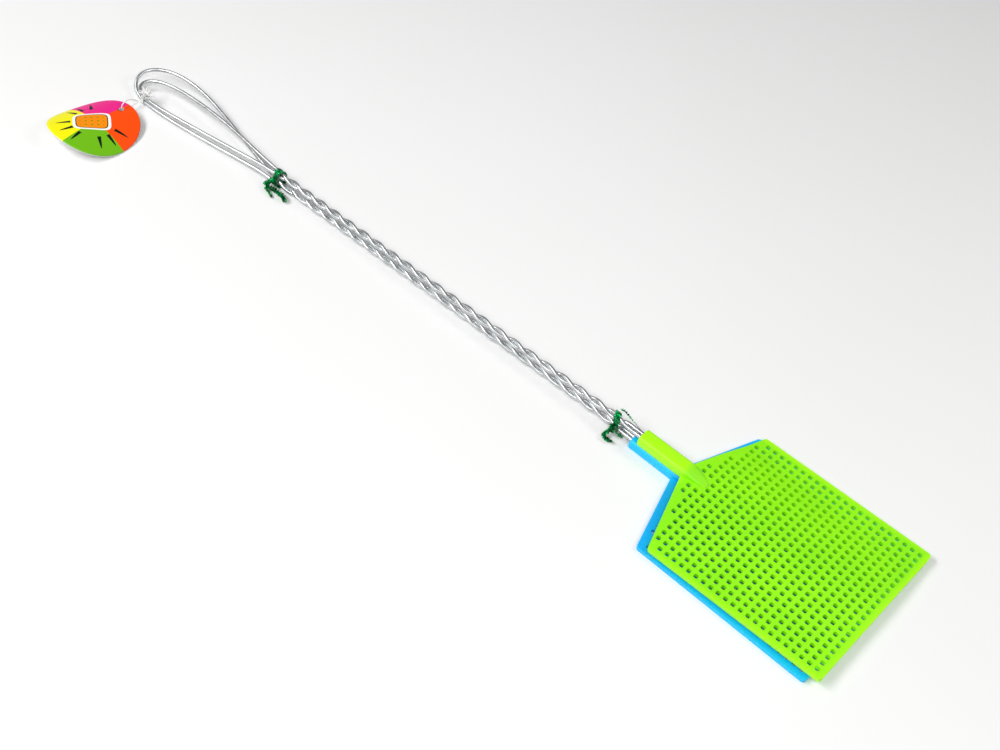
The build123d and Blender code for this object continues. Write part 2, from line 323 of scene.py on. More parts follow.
def makePiece(name, points, faces, material, body, uv=None, recalculate=True):
    # points (n, 3) in metres, faces as rows of point numbers, uv one pair for each face corner
    mesh = bpy.data.meshes.new(name)
    mesh.from_pydata(points.tolist(), [], [list(face) for face in faces])
    if uv is not None:
        layer = mesh.uv_layers.new(name="UVMap")
        layer.data.foreach_set("uv", np.asarray(uv, dtype=np.float32).ravel())
    if recalculate:
        shell = bmesh.new()
        shell.from_mesh(mesh)
        bmesh.ops.recalc_face_normals(shell, faces=shell.faces)
        shell.to_mesh(mesh)
        shell.free()
    mesh.materials.append(material)
    mesh.update()
    piece = bpy.data.objects.new(name, mesh)
    bpy.context.collection.objects.link(piece)
    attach(piece, body)
    return piece


def smoothShade(piece):
    # every face shaded smooth
    piece.data.polygons.foreach_set("use_smooth", [True] * len(piece.data.polygons))
    piece.data.update()


def gridFaces(rows, columns, closed):
    # quads between neighbouring rows and columns; closed joins the last column to the first
    index = np.arange(rows * columns).reshape(rows, columns)
    after = np.roll(index, -1, axis=1)
    if not closed:
        index, after = index[:, :-1], after[:, :-1]
    quads = np.stack([index[:-1], index[1:], after[1:], after[:-1]], axis=-1)
    return quads.reshape(-1, 4)


def gridUv(rows, columns, closed, alongLength=1.0):
    # u runs along the rows, v once round the columns, so the seam has v = 1 on its far side
    u = np.linspace(0.0, alongLength, rows)
    v = np.arange(columns + 1) / columns
    last = columns if closed else columns - 1
    corners = np.zeros((rows - 1, last, 4, 2))
    corners[..., 0, 0] = corners[..., 3, 0] = u[:-1, None]
    corners[..., 1, 0] = corners[..., 2, 0] = u[1:, None]
    corners[..., 0, 1] = corners[..., 1, 1] = v[None, :last]
    corners[..., 2, 1] = corners[..., 3, 1] = v[None, 1:last + 1]
    return corners.reshape(-1, 2)


def cappedShell(grid):
    # closed skin of a stack of rings: quads between rings, and a fan to a middle point at each end
    rows, columns = grid.shape[:2]
    points = np.concatenate([grid.reshape(-1, 3), grid[:1].mean(axis=1), grid[-1:].mean(axis=1)])
    quads = gridFaces(rows, columns, True)
    first = np.arange(columns)
    second = np.roll(first, -1)
    start = np.stack([second, first, np.full(columns, rows * columns)], axis=-1)
    lastRow = (rows - 1) * columns
    end = np.stack([first + lastRow, second + lastRow, np.full(columns, rows * columns + 1)], axis=-1)
    return points, quads, np.concatenate([start, end])


def joinedShells(grids):
    # the capped shells of several grids as one list of points and one of faces
    points, faces, first = [], [], 0
    for grid in grids:
        part, quads, fans = cappedShell(grid * mm)
        points.append(part)
        faces += (quads + first).tolist() + (fans + first).tolist()
        first += len(part)
    return np.concatenate(points), faces


def tubePiece(name, grid, material, body, alongLength):
    # capped tube whose u runs to alongLength, so that the pattern keeps its scale along it
    points, quads, fans = cappedShell(grid)
    uv = np.concatenate([gridUv(grid.shape[0], grid.shape[1], True, alongLength), np.zeros((fans.size, 2))])
    piece = makePiece(name, points, quads.tolist() + fans.tolist(), material, body, uv)
    smoothShade(piece)
    return piece


def smoothRoute(points, perSpan):
    # quadratic B-spline: weights (1-t)^2/2, 1/2+t-t^2, t^2/2 on three neighbouring points; the two
    # ends are mirrored so that the line reaches them
    points = np.asarray(points, dtype=float)
    padded = np.concatenate([[2 * points[0] - points[1]], points, [2 * points[-1] - points[-2]]])
    t = (np.arange(perSpan) / perSpan)[None, :, None]
    before, here, after = padded[:-2, None], padded[1:-1, None], padded[2:, None]
    line = before * (1 - t) ** 2 / 2 + here * (0.5 + t - t * t) + after * t * t / 2
    line = line.reshape(-1, 3)
    keep = slice(perSpan // 2, len(line) - perSpan // 2 + 1)
    return line[keep]


def unit(vectors):
    # each vector divided by its length
    return vectors / np.linalg.norm(vectors, axis=-1, keepdims=True)


def carriedFrame(line, up=(0.0, 0.0, 1.0)):
    # along the line's tangent, a side that is level with up, and a lift square to both
    along = unit(np.gradient(line, axis=0))
    side = unit(np.cross(np.asarray(up, dtype=float), along))
    lift = np.cross(along, side)
    return along, side, lift


def roundTube(line, radius, sides, up=(0.0, 0.0, 1.0)):
    # circle of points carried square to the line
    _, side, lift = carriedFrame(line, up)
    angle = np.linspace(0, 2 * np.pi, sides, endpoint=False)[None, :, None]
    radius = np.broadcast_to(np.asarray(radius, dtype=float).reshape(-1, 1, 1), (len(line), 1, 1))
    return line[:, None] + radius * (side[:, None] * np.cos(angle) + lift[:, None] * np.sin(angle))


def lineLength(line):
    # sum of the distances between neighbouring points
    return float(np.linalg.norm(np.diff(line, axis=0), axis=1).sum())


def placeMatrix(spec, neckX):
    # tilt about the neck, then turn about Z at the origin, then shift and lift
    shift = Matrix.Translation((spec["shift"][0], spec["shift"][1], spec["lift"]))
    turn = Matrix.Rotation(math.radians(spec["yaw"]), 4, "Z")
    there = Matrix.Translation((neckX, 0, 0))
    tilt = Matrix.Rotation(math.radians(spec["tilt"]), 4, "Y")
    return np.array(shift @ turn @ there @ tilt @ there.inverted())


def placed(matrix, points):
    # points turned by the matrix's 3 x 3 part, then moved by its last column
    points = np.asarray(points, dtype=float)
    return points @ matrix[:3, :3].T + matrix[:3, 3]


# sizes are in millimetres from here on, until a piece is made
bladeShape = {
    "half": 46.0, "thickness": 2.0, "neckX": -60.0, "mouthX": -86.0, "neckHalf": 4.2,
    "pitch": 4.0, "holes": 22, "holeHalf": 1.1, "holeSquareness": 3.6, "shoulderRows": (20, 12, 6),
    "cornerRadius": 1.6, "rampEnd": -47.4, "rampTipHalf": 1.5, "socketHeight": 5.0,
    "socketTopRadius": 1.9, "socketFootRadius": 0.35, "mouthRound": 0.9, "socketFoot": 0.02,
    "innerLine": 0.45, "mergeDistance": 0.004, "bevelAngle": 50, "edgeBevel": 0.28,
    "floorClear": 4.05, "clearSoftness": 0.35,
    "mouthRings": ((2.2, 1.72, 0.2, 0.75), (0.25, 1.55, 0.2, 0.9), (0.0, 1.35, 0.1, 1.05)),
}
lowerPlace = {"yaw": -1.9, "tilt": 0.0, "shift": (0.45, -0.3), "lift": 0.0}
upperPlace = {"yaw": -0.63, "tilt": 1.2, "shift": (4.4, 1.45), "lift": 5.3}
crown = {"acrossSquare": -0.696, "alongAcrossSquare": 0.371, "alongSquare": 0.009,
         "acrossCube": -0.449, "alongAcross": -0.042, "span": 48.0, "height": 4.0}


def halfWidth(x, shape):
    # outline of the plate: full width, rounded far corners, slanting shoulders with a rounded start
    half, radius = shape["half"], shape["cornerRadius"]
    slope = (half - shape["neckHalf"]) / (-half - shape["neckX"])
    slanted = half - (-half - x) * slope
    outline = np.minimum(half, slanted)
    reach = radius * math.tan(math.atan(slope) / 2)
    centre = -half + reach
    start = -half - reach * math.cos(math.atan(slope))
    shoulderArc = half - radius + np.sqrt(np.clip(radius ** 2 - (x - centre) ** 2, 0, None))
    outline = np.where((x > start) & (x < centre), np.minimum(outline, shoulderArc), outline)
    farArc = half - radius + np.sqrt(np.clip(radius ** 2 - (x - (half - radius)) ** 2, 0, None))
    return np.where(x > half - radius, farArc, outline)


def holeGrid(shape):
    # centres of the square field's holes and of the rows that carry on into the shoulders
    first = -(shape["holes"] - 1) * shape["pitch"] / 2
    line = first + np.arange(shape["holes"]) * shape["pitch"]
    field = np.stack(np.meshgrid(line, line, indexing="ij"), axis=-1).reshape(-1, 2)
    extra = []
    for column, rows in enumerate(shape["shoulderRows"]):
        x = first - (column + 1) * shape["pitch"]
        y = (np.arange(rows) - (rows - 1) / 2) * shape["pitch"]
        besideSocket = np.abs(y) - shape["holeHalf"] > shape["neckHalf"]
        clear = besideSocket | (x - shape["holeHalf"] > shape["rampEnd"])
        extra.append(np.stack([np.full(clear.sum(), x), y[clear]], axis=-1))
    return np.concatenate([field] + extra)


def plateLines(shape):
    # grid lines: five in each pitch, so that a hole's edges fall on lines, and finer ones at the rims
    first = -(shape["holes"] - 1) * shape["pitch"] / 2
    offsets = np.array([-shape["pitch"] / 2, -shape["holeHalf"], -shape["innerLine"], shape["innerLine"],
                        shape["holeHalf"]])
    across = (first + np.arange(shape["holes"]) * shape["pitch"])[:, None] + offsets
    rim = shape["half"] - shape["cornerRadius"] * np.array([1.0, 0.7, 0.45, 0.25, 0.12, 0.04, 0.0])
    rim = np.concatenate([[-first + shape["pitch"] / 2], rim])
    yLines = np.concatenate([-rim[::-1], across.ravel()[1:], rim])
    columns = len(shape["shoulderRows"])
    along = (first + np.arange(-columns, shape["holes"]) * shape["pitch"])[:, None] + offsets
    neck = shape["neckX"] + np.arange(4.0)
    shoulder = -shape["half"] + np.array([-0.3, 0.1, 0.7])
    xLines = np.unique(np.concatenate([neck, along.ravel(), shoulder, rim]).round(4))
    return xLines, np.unique(yLines.round(4))


def plateSurface(shape):
    # flat plan of the plate: the grid without its holes, hole edges rounded to a superellipse,
    # points beyond the outline drawn in to it
    xLines, yLines = plateLines(shape)
    x, y = np.meshgrid(xLines, yLines, indexing="ij")
    limit = halfWidth(x, shape)
    y = np.clip(y, -limit, limit)
    middleX = (xLines[:-1] + xLines[1:]) / 2
    middleY = (yLines[:-1] + yLines[1:]) / 2
    holes = holeGrid(shape)
    isOpen = np.zeros((len(middleX), len(middleY)), dtype=bool)
    for holeX, holeY in holes:
        inX = np.abs(middleX - holeX) < shape["holeHalf"]
        inY = np.abs(middleY - holeY) < shape["holeHalf"]
        isOpen |= inX[:, None] & inY[None, :]
    nearX = (x / shape["pitch"] - 0.5).round() * shape["pitch"] + shape["pitch"] / 2
    nearY = (y / shape["pitch"] - 0.5).round() * shape["pitch"] + shape["pitch"] / 2
    offX, offY = x - nearX, y - nearY
    onEdge = np.abs(np.maximum(np.abs(offX), np.abs(offY)) - shape["holeHalf"]) < 0.01
    isHole = np.zeros_like(onEdge)
    for holeX, holeY in holes:
        isHole |= (np.abs(nearX - holeX) < 0.01) & (np.abs(nearY - holeY) < 0.01)
    power = shape["holeSquareness"]
    shareX, shareY = np.abs(offX / shape["holeHalf"]), np.abs(offY / shape["holeHalf"])
    size = (shareX ** power + shareY ** power) ** (1 / power)
    pull = np.where(onEdge & isHole, 1 / np.maximum(size, 0.5), 1.0)
    x, y = nearX + offX * pull, nearY + offY * pull
    faces = gridFaces(len(xLines), len(yLines), False)[~isOpen.ravel()]
    return np.stack([x.ravel(), y.ravel(), np.zeros(x.size)], axis=-1), faces


def crownHeight(x, y, spec):
    # bow of the limp plate: a sum of low powers of the place along and across it
    a, b = x / spec["span"], y / spec["span"]
    bow = (spec["acrossSquare"] * b ** 2 + spec["alongAcrossSquare"] * a * b ** 2
           + spec["alongSquare"] * a ** 2 + spec["acrossCube"] * b ** 3 + spec["alongAcross"] * a * b)
    return bow * spec["height"]


def makePlate(name, shape, place, bow, material, body):
    # the upper face, bowed and put in place, with a wall of the plate's thickness and softened edges
    points, faces = plateSurface(shape)
    points[:, 2] = shape["thickness"]
    if bow is not None:
        points[:, 2] += crownHeight(points[:, 0], points[:, 1], bow)
    points = placed(placeMatrix(place, shape["neckX"]), points)
    if bow is not None:
        # soft limit: height stays above the plate below, blended by a soft step
        over = (points[:, 2] - shape["floorClear"]) / shape["clearSoftness"]
        points[:, 2] = shape["floorClear"] + shape["clearSoftness"] * np.logaddexp(0, over)
    mesh = bpy.data.meshes.new(name)
    mesh.from_pydata((points * mm).tolist(), [], faces.tolist())
    shell = bmesh.new()
    shell.from_mesh(mesh)
    bmesh.ops.remove_doubles(shell, verts=shell.verts, dist=shape["mergeDistance"] * mm)
    bmesh.ops.dissolve_degenerate(shell, edges=shell.edges, dist=shape["mergeDistance"] * mm)
    loose = [vertex for vertex in shell.verts if not vertex.link_faces]
    bmesh.ops.delete(shell, geom=loose, context="VERTS")
    for face in shell.faces:
        if face.normal.z < 0:
            face.normal_flip()
    shell.to_mesh(mesh)
    shell.free()
    mesh.materials.append(material)
    piece = bpy.data.objects.new(name, mesh)
    bpy.context.collection.objects.link(piece)
    smoothShade(piece)
    solid = piece.modifiers.new("wall", "SOLIDIFY")
    solid.thickness = shape["thickness"] * mm
    solid.offset = -1.0
    solid.use_even_offset = True
    bevel = piece.modifiers.new("softEdge", "BEVEL")
    bevel.width = shape["edgeBevel"] * mm
    bevel.segments = 2
    bevel.limit_method = "ANGLE"
    bevel.angle_limit = math.radians(shape["bevelAngle"])
    bevel.harden_normals = True
    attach(piece, body)
    return piece


def roundedRing(half, foot, top, footRadius, topRadius, perCorner):
    # rounded rectangle in the YZ plane: a quarter circle of points at each corner
    quarter = np.linspace(0, np.pi / 2, perCorner)
    ring = []
    for turn, sideY, sideZ, radius in ((0, 1, 1, topRadius), (1, -1, 1, topRadius),
                                       (2, -1, -1, footRadius), (3, 1, -1, footRadius)):
        radius = min(radius, half, (top - foot) / 2)
        edge = top if sideZ > 0 else foot
        angle = quarter + turn * np.pi / 2
        ring.append(np.stack([sideY * (half - radius) + radius * np.cos(angle),
                              edge - sideZ * radius + radius * np.sin(angle)], axis=-1))
    return np.concatenate(ring)


def socketSurface(shape, perCorner=7):
    # rounded rectangle carried along X: a rounded mouth with a recess for the wire, the straight
    # sleeve, then the ramp that narrows and sinks into the plate
    rings = []
    half, top = shape["neckHalf"], shape["socketHeight"]
    foot, mouthRound = shape["socketFoot"], shape["mouthRound"]

    def ring(x, inset, width, height, radius):
        # one rounded rectangle at x, drawn in by the inset
        flat = roundedRing(width - inset, foot + inset, height - inset, shape["socketFootRadius"], radius,
                           perCorner)
        rings.append(np.column_stack([np.full(len(flat), x), flat]))

    for depth, inset, narrower, radius in shape["mouthRings"]:
        ring(shape["mouthX"] + depth, inset, half - narrower, top, radius)
    for angle in np.linspace(0, np.pi / 2, 6):
        inset = mouthRound * (1 - math.sin(angle))
        x = shape["mouthX"] + mouthRound * (1 - math.cos(angle))
        ring(x, inset * 0.6, half, top, shape["socketTopRadius"])
    for x in np.linspace(shape["mouthX"] + 4, shape["neckX"], 8):
        ring(x, 0.0, half, top, shape["socketTopRadius"])
    for share in np.linspace(0, 1, 15)[1:]:
        x = shape["neckX"] + share * (shape["rampEnd"] - shape["neckX"])
        fall = share * share * (3 - 2 * share)
        height = top + (shape["thickness"] + 0.03 - top) * (0.35 * share + 0.65 * fall)
        width = half + (shape["rampTipHalf"] - half) * (0.6 * share + 0.4 * share ** 3)
        ring(x, 0.0, width, height, max(0.25, shape["socketTopRadius"] * (1 - share)))
    return np.stack(rings)


def makeSocket(name, shape, place, material, body):
    # the socket's stack of rings, closed at both ends and put in place
    grid = socketSurface(shape)
    grid = placed(placeMatrix(place, shape["neckX"]), grid.reshape(-1, 3)).reshape(grid.shape) * mm
    points, quads, fans = cappedShell(grid)
    piece = makePiece(name, points, quads.tolist() + fans.tolist(), material, body)
    smoothShade(piece)
    return piece


lowerShape = {**bladeShape, "shoulderRows": (18, 10, 4)}
blades = {
    "lowerPlate": makePlate("lowerPlate", lowerShape, lowerPlace, None, bluePlastic,
                            "lower_swatter"),
    "upperPlate": makePlate("upperPlate", bladeShape, upperPlace, crown, limePlastic,
                            "upper_swatter"),
    "lowerSocket": makeSocket("lowerSocket", bladeShape, lowerPlace, bluePlastic,
                              "lower_swatter"),
    "upperSocket": makeSocket("upperSocket", bladeShape, upperPlace, limePlastic,
                              "upper_swatter"),
}
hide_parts("lower_blade")
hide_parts("upper_blade")
print("blades made")


wireShape = {
    "diameter": 2.0, "legGap": 0.16, "legDepth": 24.0, "legStraight": 4.0, "legRise": 5.4,
    "twistSpread": 1.13, "halfTurns": 23, "stepsPerHalfTurn": 3, "halfTurnLength": 10.266,
    "sideBend": -0.57, "lowerHeights": (1.425, 1.4), "upperEndShift": 2.5, "upperEnd": (0.65, 3.55),
    "socketAxis": 2.5, "perSpan": 8, "sides": 18,
}
# along the handle in millimetres from the twist's end, across and height in wire diameters
lowerLoop = [
    (-13.5, -0.8, 1.25), (-36.5, -2.25, 0.95), (-62.5, -3.7, 0.75), (-80.5, -4.45, 0.8),
    (-93.5, -4.5, 0.95), (-102.5, -3.45, 1.6), (-107.7, -0.95, 3.0), (-108.1, 2.45, 3.9),
    (-102.5, 5.65, 4.25), (-92.5, 7.85, 4.15), (-78.5, 8.45, 3.7), (-63.5, 7.75, 3.0),
    (-44.5, 5.75, 2.3), (-22.5, 3.15, 1.8),
]
upperLoop = [
    (-10.5, -0.05, 3.1), (-31.5, -1.25, 2.6), (-55.5, -2.65, 2.3), (-73.5, -3.7, 2.15),
    (-86.5, -4.25, 2.1), (-96.0, -4.0, 2.15), (-102.3, -2.15, 2.5), (-102.9, 0.65, 2.8),
    (-96.5, 2.9, 3.1), (-85.5, 4.1, 3.4), (-69.5, 4.4, 3.65), (-50.5, 4.1, 3.85),
    (-28.5, 3.0, 3.85), (-11.5, 1.85, 3.7),
]


def wireRoute(spec, matrix, start, end, root, loop, mouthX):
    # both legs: inside the socket, then a circle round the line from start to end, half a turn apart;
    # the loop joins them
    offset = (spec["diameter"] + spec["legGap"]) / 2
    steps = spec["halfTurns"] * spec["stepsPerHalfTurn"]
    share = np.linspace(0, 1, steps + 1)[:, None]
    along = unit(end - start)
    down = unit(np.cross(along, (0.0, 1.0, 0.0)))
    across = np.cross(down, along)
    legs = []
    for side, firstAngle in ((1, 0.0), (-1, math.pi)):
        inside = placed(matrix, [(mouthX + spec["legDepth"], side * offset, spec["socketAxis"]),
                                 (mouthX - spec["legStraight"], side * offset, spec["socketAxis"])])
        angle = firstAngle + share * steps * math.pi / spec["stepsPerHalfTurn"]
        circle = (across * np.cos(angle) + down * np.sin(angle)) * spec["twistSpread"] * offset
        legs.append(np.concatenate([inside, start + (end - start) * share + circle]))
    loopPoints = root + np.asarray(loop) * (1.0, spec["diameter"], spec["diameter"])
    return np.concatenate([legs[0], loopPoints, legs[1][::-1]])


mouthX, neckX = bladeShape["mouthX"], bladeShape["neckX"]
twistX = mouthX - wireShape["legStraight"] - wireShape["legRise"]
lowerMatrix = placeMatrix(lowerPlace, neckX)
upperMatrix = placeMatrix(upperPlace, neckX)
wide = wireShape["diameter"]
lowerStart = placed(lowerMatrix, (twistX, 0.0, wireShape["lowerHeights"][0] * wide))
upperStart = placed(upperMatrix, (twistX, 0.0, wireShape["socketAxis"]))
loopRoot = np.array([lowerStart[0] - wireShape["halfTurns"] * wireShape["halfTurnLength"],
                     lowerStart[1] + wireShape["sideBend"], 0.0])
lowerEnd = loopRoot + (0.0, 0.0, wireShape["lowerHeights"][1] * wide)
upperEnd = loopRoot + (wireShape["upperEndShift"], wireShape["upperEnd"][0] * wide,
                       wireShape["upperEnd"][1] * wide)


def makeWire(name, matrix, start, end, loop, body):
    # one round tube along the smoothed route; u is its length over its girth
    route = wireRoute(wireShape, matrix, start, end, loopRoot, loop, mouthX)
    line = smoothRoute(route, wireShape["perSpan"]) * mm
    grid = roundTube(line, wide / 2 * mm, wireShape["sides"])
    alongLength = lineLength(line) / (math.pi * wide * mm)
    piece = tubePiece(name, grid, zincWire, body, alongLength)
    stretches = ("twist", "loop_near", "bend_near", "bend_far", "loop_far")
    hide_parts(*[body.split("_")[0] + "_wire_" + stretch for stretch in stretches])
    return piece


makeWire("lowerWire", lowerMatrix, lowerStart, lowerEnd, lowerLoop, "lower_swatter")
makeWire("upperWire", upperMatrix, upperStart, upperEnd, upperLoop, "upper_swatter")
print("wires made")

threadShape = {
    "diameter": 0.6, "hitchDistance": 93.7, "hitchLow": (-4.35, 1.025), "hitchHigh": (-3.95, 2.175),
}
# the thread's route out over the card, down through its hole and back beneath: how far along
# the way from the hitch to the hole each point is, and its rise in millimetres
threadRoute = [
    (0.0, 0.4), (0.16, 1.74), (0.36, 3.36), (0.61, 4.03), (0.85, 3.33), (0.98, 1.56),
    (0.98, -0.64), (0.85, -1.67), (0.62, -1.6), (0.38, -1.1), (0.18, -0.72), (0.0, -0.4),
]
threadRoot = np.array([-425.6, -9.9, 2.99])
cardHole = np.array([-422.9, -22.9, 6.21])
threadPoints = [threadRoot + (cardHole - threadRoot) * share + (0.0, 0.0, rise)
                for share, rise in threadRoute]


def makeThread(name, route, spec, body):
    # NURBS of order 3 on the route's points
    curve = bpy.data.curves.new(name, "CURVE")
    curve.dimensions = "3D"
    spline = curve.splines.new("NURBS")
    spline.points.add(len(route) - 1)
    for point, place in zip(spline.points, route):
        point.co = (place[0] * mm, place[1] * mm, place[2] * mm, 1.0)
    spline.order_u = 3
    spline.use_endpoint_u = True
    spline.resolution_u = 8
    curve.bevel_depth = spec["diameter"] / 2 * mm
    curve.bevel_resolution = 4
    curve.use_fill_caps = True
    curve.materials.append(whiteThread)
    piece = bpy.data.objects.new(name, curve)
    bpy.context.collection.objects.link(piece)
    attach(piece, body)
    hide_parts("tag_thread")
    return piece


def stadiumRoute(low, high, radius, turns, drift, perTurn=14, start=0.0, slope=0.0):
    # round two circles of one size, in the plane across the handle, drifting along it; the
    # slope leans the near side of the turns along the handle
    low, high = np.asarray(low, dtype=float), np.asarray(high, dtype=float)
    lean = math.atan2(high[2] - low[2], high[1] - low[1])
    angle = start + np.arange(int(turns * perTurn) + 1) * 2 * np.pi / perTurn
    centre = np.where((np.cos(angle) > 0)[:, None], high, low)
    around = np.stack([np.zeros_like(angle), np.cos(angle + lean), np.sin(angle + lean)], axis=-1)
    line = centre + around * radius
    line[:, 0] += drift * (angle - angle.mean()) / (2 * np.pi) + slope * (line[:, 1].max() - line[:, 1])
    return line


hitchLow = loopRoot + (-threadShape["hitchDistance"], threadShape["hitchLow"][0] * wide,
                       threadShape["hitchLow"][1] * wide)
hitchHigh = loopRoot + (-threadShape["hitchDistance"], threadShape["hitchHigh"][0] * wide,
                        threadShape["hitchHigh"][1] * wide)
knotShape = {"size": 1.0, "place": (-423.4, -5.6, 7.2), "sides": 10, "strands": 18, "strandRadius": 0.34,
             "strandLength": (3.2, 5.2), "heading": (-1.4, 4.0), "lift": (0.0, 0.9), "waver": 0.35,
             "taper": (1.7, 0.5), "lowest": 0.4, "turns": 3.0, "drift": 0.62, "clearance": 0.22, "seed": 5}


def makeHitch(spec, knot, body):
    # three turns round both wires, a trefoil knot on top and frayed strands that bend as they reach out
    radius = spec["diameter"] / 2
    grids = []
    reachRound = wide / 2 + radius + knot["clearance"]
    turns = stadiumRoute(hitchLow, hitchHigh, reachRound, knot["turns"], knot["drift"], start=math.pi)
    grids.append(roundTube(smoothRoute(turns, 4), radius, knot["sides"], (1.0, 0.0, 0.0)))
    t = np.linspace(0, 2 * np.pi, 28)
    trefoil = np.stack([np.sin(t) + 2 * np.sin(2 * t), np.cos(t) - 2 * np.cos(2 * t),
                        -1.3 * np.sin(3 * t)], axis=-1)
    knotLine = np.asarray(knot["place"]) + trefoil * knot["size"] + (0.0, 0.0, -0.4)
    grids.append(roundTube(smoothRoute(knotLine, 4), radius * 1.15, knot["sides"], (0.1, 0.2, 1.0)))
    random = np.random.default_rng(knot["seed"])
    for _ in range(knot["strands"]):
        heading = random.uniform(*knot["heading"])
        lift = random.uniform(*knot["lift"])
        reach = random.uniform(*knot["strandLength"])
        level = math.cos(lift)
        aim = np.array([math.cos(heading) * level, math.sin(heading) * level, math.sin(lift)])
        bend = random.normal(0, knot["waver"], (5, 3)) * np.linspace(0, 1, 5)[:, None]
        line = np.asarray(knot["place"]) + aim * np.linspace(0.3, reach, 5)[:, None] + bend
        line[:, 2] = np.maximum(line[:, 2], knot["lowest"])
        smooth = smoothRoute(line, 5)
        taper = np.linspace(*knot["taper"], len(smooth)) * knot["strandRadius"]
        grids.append(roundTube(smooth, taper, 6, (0.3, 0.2, 1.0)))
    points, faces = joinedShells(grids)
    piece = makePiece("hitchKnot", points, faces, whiteThread, body)
    smoothShade(piece)
    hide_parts("tag_hitch")
    return piece


cardShape = {
    "diameter": 48.8, "thickness": 0.45, "curlRadius": 40.0, "hole": (18.3, 1.1), "holeRadius": 1.5,
    "centre": (-422.9, -41.1, 7.9), "heading": 86.2, "pitch": 5.6, "rings": 26, "around": 120,
}
cardPrint = {
    "green": (0.16, 0.50, 0.005), "orange": (1.0, 0.075, 0.0), "pink": (0.88, 0.015, 0.26),
    "yellow": (0.95, 0.90, 0.0), "ink": (0.0, 0.012, 0.004), "panel": (0.95, 0.27, 0.0),
    "border": (0.95, 0.95, 0.95), "dot": (0.12, 0.30, 0.0), "sectorEnds": (14.0, 96.0, 186.0, 269.0),
    "tickAngles": (20.0, 68.0, 92.0, 118.0, 242.0, 264.0, 284.0, 330.0, 354.0),
    "tickHalf": 4.5, "tickFrom": 0.50, "tickTo": 0.86, "panelHalf": (0.36, 0.26), "panelTurn": -32.0,
    "panelPlace": (-0.04, 0.02), "panelSquareness": 5.0, "dotPitch": 0.065, "dotSquare": 0.0005,
    "dotField": 0.2, "panelSteps": ((1.9, "border"), (0.85, "ink"), (0.62, "panel")),
}


def cardMaterial(spec):
    # printed face: four sectors of colour by angle, dark wedge ticks that narrow outwards, and a
    # bordered panel with rows of dots in the middle
    material, tree, shader = startMaterial("printedCard")
    uvNode = tree.nodes.new("ShaderNodeTexCoord")
    split = tree.nodes.new("ShaderNodeSeparateXYZ")
    tree.links.new(uvNode.outputs["UV"], split.inputs["Vector"])
    x = mathSocket(tree, "SUBTRACT", mathSocket(tree, "MULTIPLY", split.outputs["X"], 2.0), 1.0)
    y = mathSocket(tree, "SUBTRACT", mathSocket(tree, "MULTIPLY", split.outputs["Y"], 2.0), 1.0)
    turnShare = mathSocket(tree, "DIVIDE", mathSocket(tree, "ARCTAN2", y, x), 2 * math.pi)
    angle = mathSocket(tree, "ADD", turnShare, 0.5)
    radius = mathSocket(tree, "SQRT", mathSocket(tree, "ADD", mathSocket(tree, "MULTIPLY", x, x),
                                                 mathSocket(tree, "MULTIPLY", y, y)))
    ends = [value / 360 for value in spec["sectorEnds"]]
    sectors = rampNode(tree, angle, [(0.0, spec["yellow"]), (ends[0], spec["green"]),
                                     (ends[1], spec["orange"]), (ends[2], spec["pink"]),
                                     (ends[3], spec["yellow"])])
    sectors.color_ramp.interpolation = "CONSTANT"
    stops = []
    half = spec["tickHalf"] / 360
    for place in spec["tickAngles"]:
        stops += [(place / 360 - half, (0, 0, 0)), (place / 360, (1, 1, 1)),
                  (place / 360 + half, (0, 0, 0))]
    peaks = rampNode(tree, angle, stops)
    outward = mathSocket(tree, "DIVIDE", mathSocket(tree, "SUBTRACT", radius, spec["tickFrom"]),
                         spec["tickTo"] - spec["tickFrom"])
    wedge = mathSocket(tree, "MULTIPLY", mathSocket(tree, "GREATER_THAN", peaks.outputs["Color"], outward),
                       mathSocket(tree, "GREATER_THAN", outward, 0.0))
    colour = mixSocket(tree, wedge, sectors.outputs["Color"], spec["ink"])
    turn = math.radians(spec["panelTurn"])
    px = mathSocket(tree, "SUBTRACT", x, spec["panelPlace"][0])
    py = mathSocket(tree, "SUBTRACT", y, spec["panelPlace"][1])
    ax = mathSocket(tree, "ADD", mathSocket(tree, "MULTIPLY", px, math.cos(turn)),
                    mathSocket(tree, "MULTIPLY", py, math.sin(turn)))
    ay = mathSocket(tree, "SUBTRACT", mathSocket(tree, "MULTIPLY", py, math.cos(turn)),
                    mathSocket(tree, "MULTIPLY", px, math.sin(turn)))
    powers = []
    for place, panelHalf in zip((ax, ay), spec["panelHalf"]):
        share = mathSocket(tree, "ABSOLUTE", mathSocket(tree, "DIVIDE", place, panelHalf))
        powers.append(mathSocket(tree, "POWER", share, spec["panelSquareness"]))
    size = mathSocket(tree, "ADD", *powers)
    for limit, tone in spec["panelSteps"]:
        colour = mixSocket(tree, mathSocket(tree, "LESS_THAN", size, limit), colour, spec[tone])
    dotX = mathSocket(tree, "PINGPONG", ax, spec["dotPitch"])
    dotY = mathSocket(tree, "PINGPONG", ay, spec["dotPitch"])
    near = mathSocket(tree, "ADD", mathSocket(tree, "MULTIPLY", dotX, dotX),
                      mathSocket(tree, "MULTIPLY", dotY, dotY))
    dots = mathSocket(tree, "MULTIPLY", mathSocket(tree, "LESS_THAN", near, spec["dotSquare"]),
                      mathSocket(tree, "LESS_THAN", size, spec["dotField"]))
    colour = mixSocket(tree, dots, colour, spec["dot"])
    tree.links.new(colour, shader.inputs["Base Color"])
    fibre = noiseNode(tree, 900.0, 3.0)
    bump = bumpNode(tree, fibre.outputs["Fac"], 0.12, 0.03 * mm)
    tree.links.new(bump.outputs["Normal"], shader.inputs["Normal"])
    shader.inputs["Roughness"].default_value = 0.5
    shader.inputs["Specular IOR Level"].default_value = 0.25
    return material


